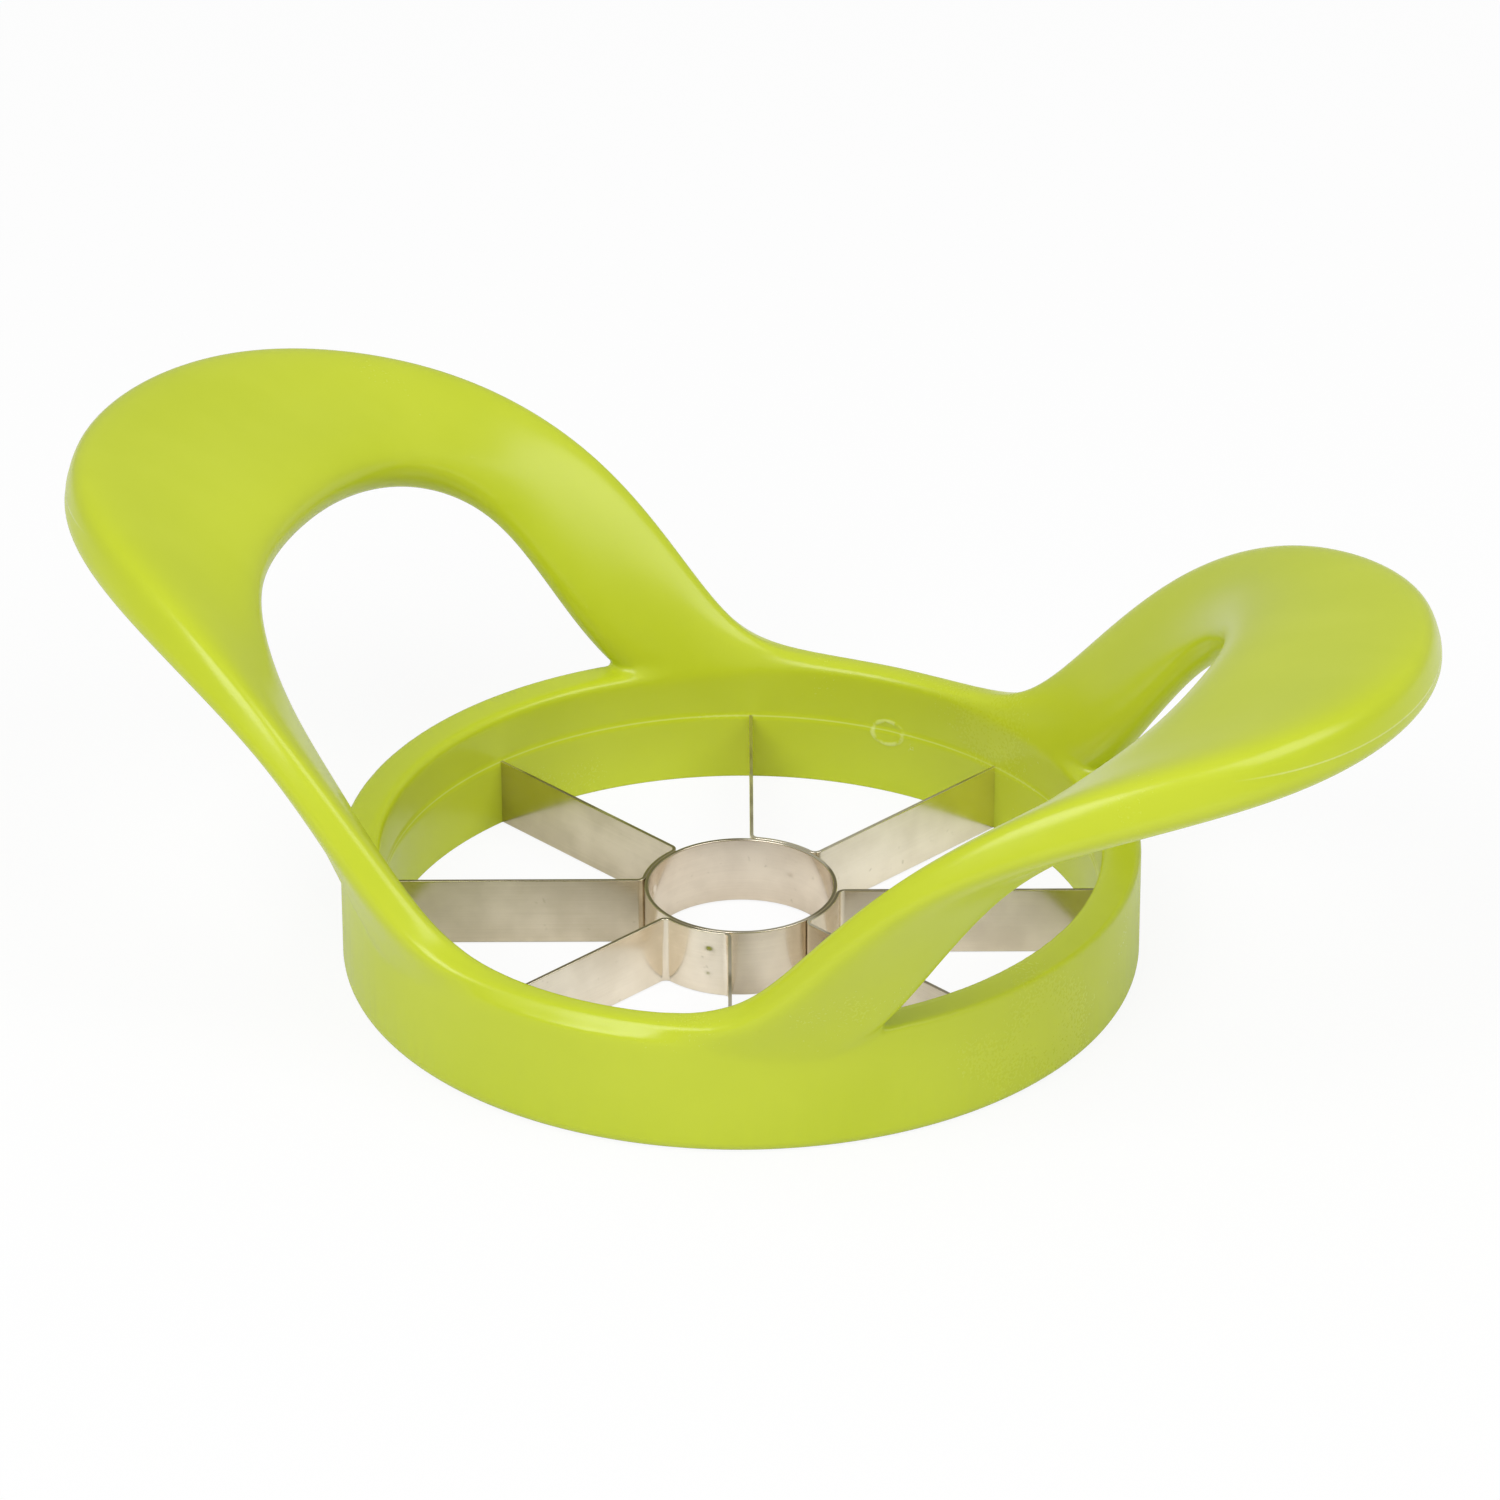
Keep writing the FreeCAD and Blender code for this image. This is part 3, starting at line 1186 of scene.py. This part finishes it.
        low = self.edge_lift + self.tolerance
        with Bench.editing(strip):
            Bench.choose(
                strip,
                "EDGE",
                lambda e: all(v.co.z < low for v in e.verts) and e.calc_length() > 0.001 * MM
                and abs(e.calc_face_angle(0.0)) > 1.0,
            )
            bpy.ops.mesh.bevel(offset=self.edge_grind, segments=1, affect="EDGES")
        # Lit and shaded copies of one steel: the rear and front strips lighter, as painted
        # reflection; the left strip darkest and the right one darker, as painted shade.
        steels = (self.bright, self.painted_shade_copy, self.bright, self.plain)
        self.dress(strip, "blade_strip_" + name, steels[index])

    def welds(self, index: int) -> list[tuple[float, float]]:
        """Angle in degrees and height of each weld of a strip to the core tube."""
        arms = 2 * index + self.first_arm_step + 0.5
        middle = self.star_turn + self.arm_step * arms - self.core_twist
        marks = self.rear_welds if index == 0 else self.other_welds
        return [(middle + shift, height) for shift, height in marks]

    def build(self) -> None:
        """Model and dress every steel piece."""
        self.make_core()
        for index, name in enumerate(("rear", "left", "front", "right")):
            self.make_strip(index, name)


@dataclass
class Run:
    """The straight run of an arm in plan, and the bend at its inner end."""

    wall: Vector
    foot: Vector
    out: Vector
    bend_centre: Vector
    bend_turn: float
    bend_angle: float

    @staticmethod
    def lay(star: SteelStar, wall_angle: float, hug_angle: float, partner_side: int) -> "Run":
        """Work out one run.

        Args:
            star: the star that it belongs to.
            wall_angle: where it enters the ring, in degrees.
            hug_angle: where it would meet the core tube, in degrees.
            partner_side: 1 where the strip's other arm is to its left, or -1.

        Returns:
            The run.
        """
        wall = polar(star.anchor_radius, wall_angle)
        start = polar(star.hug_radius, hug_angle)
        out = (wall - start).normalized()
        side = UP.cross(out) * partner_side
        offset = start.dot(side)
        reach = star.hug_radius + star.bend_radius
        along = math.sqrt(reach ** 2 - (offset + star.bend_radius) ** 2)
        foot = side * offset + out * along
        centre = foot + side * star.bend_radius
        to_core = -centre.normalized()
        angle = (foot - centre).angle(to_core)
        return Run(wall, foot, out, centre, math.atan2(centre.y, centre.x), angle)


class SoftLight(NamedTuple):
    """A square soft light: where it hangs, its side, and its power in watts."""

    name: str
    place: Vector
    size: float
    power: float


@dataclass
class Studio:
    """White sweep, soft light and the camera at the photograph's viewpoint."""

    azimuth: float = 24.92
    elevation: float = 28.47
    roll: float = -0.13
    distance: float = 999.6 * MM
    aim_right: float = 1.13 * MM
    aim_up: float = 25.05 * MM
    focal_length: float = 188.74
    sensor: float = 36.0
    floor_size: float = 8.0
    floor_grey: float = 0.86
    floor_lift: float = 0.9
    mirrored_lift: float = 0.1
    surround_strength: float = 0.49
    aim: Vector = field(default_factory=lambda: Vector((0.0, 0.0, 20.0 * MM)))
    lights: tuple[SoftLight, ...] = (
        SoftLight("key", Vector((-0.18, -0.86, 0.96)), 0.8, 8.2),
        SoftLight("side", Vector((0.83, -0.07, 1.0)), 0.9, 6.6),
    )

    def set_camera(self) -> None:
        """Set the camera up."""
        turn = Matrix.Rotation(math.radians(self.azimuth), 4, "Z")
        tilt = Matrix.Rotation(math.radians(90.0 - self.elevation), 4, "X")
        roll = Matrix.Rotation(math.radians(self.roll), 4, "Z")
        pose = turn @ tilt @ roll
        right, up, back = (pose.col[k].to_3d() for k in range(3))
        eye = right * self.aim_right + up * self.aim_up + back * self.distance
        data = bpy.data.cameras.new("camera")
        data.lens = self.focal_length
        data.sensor_width = self.sensor
        camera = bpy.data.objects.new("camera", data)
        camera.matrix_world = Matrix.Translation(eye) @ pose
        bpy.context.scene.collection.objects.link(camera)
        bpy.context.scene.camera = camera

    def lay_floor(self) -> None:
        """Lay the white floor."""
        board = Board("white_sweep")
        grey = (self.floor_grey, self.floor_grey, self.floor_grey, 1.0)
        matte = board.node("ShaderNodeBsdfDiffuse", {}, {"Color": grey})
        glow = {"Color": (1.0, 1.0, 1.0, 1.0), "Strength": 1.0}
        white = board.node("ShaderNodeEmission", {}, glow)
        seen = board.node("ShaderNodeLightPath", output="Is Camera Ray")
        mirrored = board.node("ShaderNodeLightPath", output="Is Glossy Ray")
        share = seen * self.floor_lift + mirrored * self.mirrored_lift
        mixed = board.node("ShaderNodeMixShader", {}, {0: share, 1: matte, 2: white})
        Bench.clear()
        bpy.ops.mesh.primitive_plane_add(size=self.floor_size)
        floor = Bench.named("floor")
        floor.data.materials.append(board.finish(mixed))

    def hang(self, light: SoftLight) -> None:
        """Hang one soft light, turned to the slicer."""
        data = bpy.data.lights.new(light.name, "AREA")
        data.shape = "SQUARE"
        data.size = light.size
        data.energy = light.power
        lamp = bpy.data.objects.new(light.name, data)
        lamp.location = light.place
        lamp.rotation_euler = (light.place - self.aim).to_track_quat("Z", "Y").to_euler()
        bpy.context.scene.collection.objects.link(lamp)

    def set_world(self) -> None:
        """Set an even white surround."""
        world = bpy.data.worlds.new("surround")
        world.use_nodes = True
        background = world.node_tree.nodes["Background"]
        background.inputs["Color"].default_value = (1.0, 1.0, 1.0, 1.0)
        background.inputs["Strength"].default_value = self.surround_strength
        bpy.context.scene.world = world

    def build(self) -> None:
        """Set everything up."""
        bpy.context.scene.view_settings.view_transform = "Standard"
        self.set_camera()
        self.lay_floor()
        self.set_world()
        for light in self.lights:
            self.hang(light)


def main() -> None:
    """Build the slicer and its studio, piece by piece."""
    logging.basicConfig(level=logging.INFO, format="%(message)s")
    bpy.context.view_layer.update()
    Studio().build()
    body = MouldedBody(LimePlastic().material())
    body.build()
    log.info("built %s", body.piece.name)
    # Three copies of one steel: the default one lighter, as painted reflection; the core's copy and
    # the darkest copy, as painted shade.
    star = SteelStar(
        bright=RolledSteel().material(),
        plain=RolledSteel(
            name="core_steel", face=(232, 221, 203), shade=(214, 202, 184)
        ).material(),
        painted_shade_copy=RolledSteel(
            name="painted_shade_steel", face=(219, 208, 188), shade=(199, 188, 166)
        ).material(),
    )
    star.build()
    for piece in star.pieces:
        log.info("built %s", piece.name)


if __name__ == "__main__":
    main()
